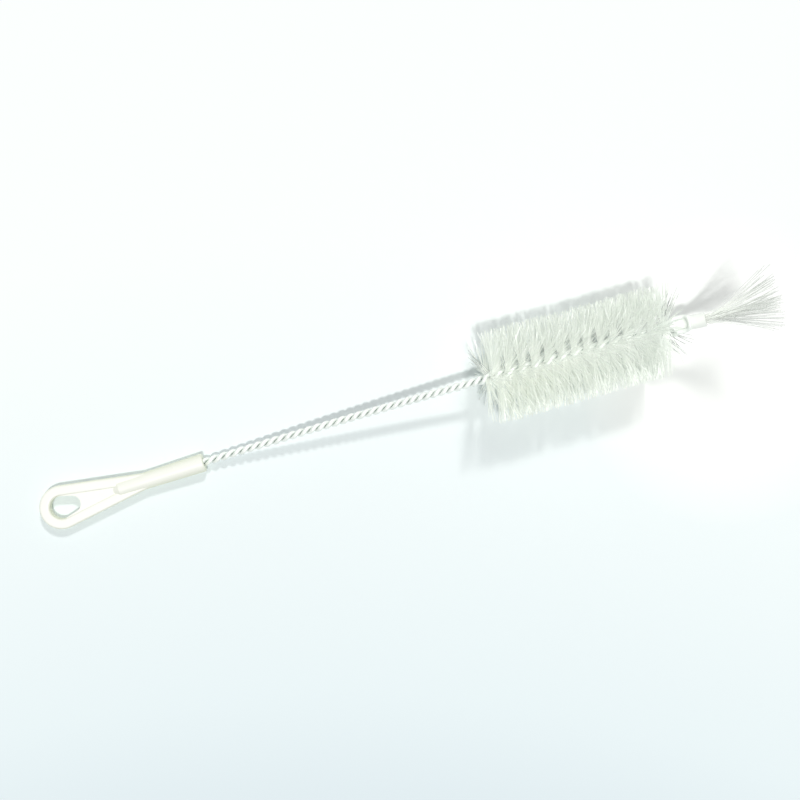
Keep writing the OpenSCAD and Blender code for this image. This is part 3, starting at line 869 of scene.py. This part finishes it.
# A cool strip of painted shade runs along X of the turned bench, past the brush on its right. A place
# takes its colour from the ramp at RAMP_MIDDLE, plus RAMP_ACROSS for each metre to the left, plus
# RAMP_BEND for the square of the metres along, counted from SHADE_STRIP_SHIFT behind the middle and only
# up to SHADE_STRIP_HALF. The square bends the strip away at both ends.
SHADE_STRIP_TURN, SHADE_STRIP_SHIFT, SHADE_STRIP_HALF = 17.0, 0.03, 0.3
RAMP_MIDDLE, RAMP_ACROSS, RAMP_BEND = 0.5, 0.625, 0.5

# The whitest patch, a pool of painted light: its centre on the turned bench, and the squares of its outer
# and inner radius.
LIGHT_POOL_X, LIGHT_POOL_Y = 0.17, 0.02
LIGHT_POOL_OUTER, LIGHT_POOL_INNER = 0.007, 0.002


def bench():
    """White bench with painted shade and light. A cool strip of painted shade, darkest some 0.2 m from the
    brush, fades to white on both sides, and a round pool of painted light to the right of the sleeve is
    the whitest."""
    h = BENCH_HALF
    mesh = bpy.data.meshes.new("bench")
    mesh.from_pydata([(-h, -h, 0), (h, -h, 0), (h, h, 0), (-h, h, 0)], [], [(0, 1, 2, 3)])
    obj = bpy.data.objects.new("bench", mesh)
    bpy.context.collection.objects.link(obj)
    look = Look(bpy.data.materials.new("bench_white"))
    at = look.coordinates()
    # Painted shade: a cool strip, from a ramp over the turned bench.
    turned = look.node("ShaderNodeMapping", None, Vector=at, Rotation=(0, 0, radians(SHADE_STRIP_TURN)))["Vector"]
    split = look.node("ShaderNodeSeparateXYZ", None, Vector=turned)
    x = look.node(
        "ShaderNodeMapRange",
        None,
        Value=split["X"] + SHADE_STRIP_SHIFT,
        From_Min=-SHADE_STRIP_HALF,
        From_Max=SHADE_STRIP_HALF,
        To_Min=-SHADE_STRIP_HALF,
        To_Max=SHADE_STRIP_HALF,
    )["Result"]
    tint = look.colours(
        split["Y"] * RAMP_ACROSS + x * x * RAMP_BEND + RAMP_MIDDLE,
        (0.0, BENCH_WHITE),
        (0.365, (0.73, 0.82, 0.877)),
        (0.405, (0.808, 0.896, 0.937)),
        (0.4875, (0.89, 0.959, 0.983)),
        (0.55, BENCH_WHITE),
    )
    # Painted light: a round pool that fades the bench to its whitest.
    along, across = split["X"] - LIGHT_POOL_X, split["Y"] - LIGHT_POOL_Y
    whitest = look.fade(along * along + across * across, LIGHT_POOL_OUTER, LIGHT_POOL_INNER)
    tint = look.blend(whitest, tint, LIGHT_POOL_WHITE)
    shader = look.node("ShaderNodeBsdfDiffuse", None, Color=tint)["BSDF"]
    mesh.materials.append(look.finish(shader))


def lamp(name, towards, energy, angle, colour):
    """A far lamp: 'towards' points from the bench to the lamp, and angle is how wide it looks."""
    light = bpy.data.lights.new(name, "SUN")
    light.energy = energy
    light.angle = radians(angle)
    light.color = colour
    obj = bpy.data.objects.new(name, light)
    aim = np.array(towards, float) / np.linalg.norm(towards)
    obj.rotation_euler = Vector(aim.tolist()).to_track_quat("Z", "Y").to_euler()
    bpy.context.collection.objects.link(obj)


SURROUNDINGS_WHITE = (0.97, 1.0, 0.99)


def surroundings(strength):
    """Even light from all sides. The camera, mirrors and glass see it at full strength, as white."""
    world = bpy.data.worlds.new("studio")
    bpy.context.scene.world = world
    look = Look(world)
    rays = look.node("ShaderNodeLightPath")
    seen = look.maths("MAXIMUM", rays["Is Camera Ray"], rays["Is Transmission Ray"])
    seen = look.maths("MAXIMUM", seen, rays["Is Glossy Ray"])
    level = seen * (1 - strength) + strength
    light = look.node("ShaderNodeBackground", None, Color=(*SURROUNDINGS_WHITE, 1), Strength=level)
    look.node("ShaderNodeOutputWorld", None, Surface=light["Background"])


SENSOR, IMAGE_WIDTH = 36, 800


def camera_above(x, y, height, roll, tilt_x, tilt_y, focal):
    """A camera that looks down on the bench from x, y at a height, turned by roll about the vertical
    and then tilted about X and about Y. focal is its focal length in pixels of the image."""
    data = bpy.data.cameras.new("camera")
    data.sensor_width = SENSOR
    data.lens = focal * SENSOR / IMAGE_WIDTH
    data.clip_start = 0.01
    data.clip_end = 20
    obj = bpy.data.objects.new("camera", data)
    obj.location = (x * MM, y * MM, height * MM)
    turn = Matrix.Rotation(radians(roll), 3, "Z")
    tip_x, tip_y = Matrix.Rotation(radians(tilt_x), 3, "X"), Matrix.Rotation(radians(tilt_y), 3, "Y")
    obj.rotation_euler = (tip_y @ tip_x @ turn).transposed().to_euler()
    bpy.context.collection.objects.link(obj)
    bpy.context.scene.camera = obj


bench()
camera_above(x=-32.0, y=18.5, height=520.0, roll=15.89, tilt_x=0.98, tilt_y=3.63, focal=1010.0)
lamp("key_lamp", towards=(-0.05, -0.21, 1.0), energy=1.475, angle=4.6, colour=(1.0, 0.985, 0.95))
lamp("soft_lamp", towards=(0.46, 0.76, 1.0), energy=1.06, angle=6.5, colour=(1.0, 0.975, 0.94))
surroundings(strength=0.335)
bpy.context.scene.view_settings.view_transform = "Standard"
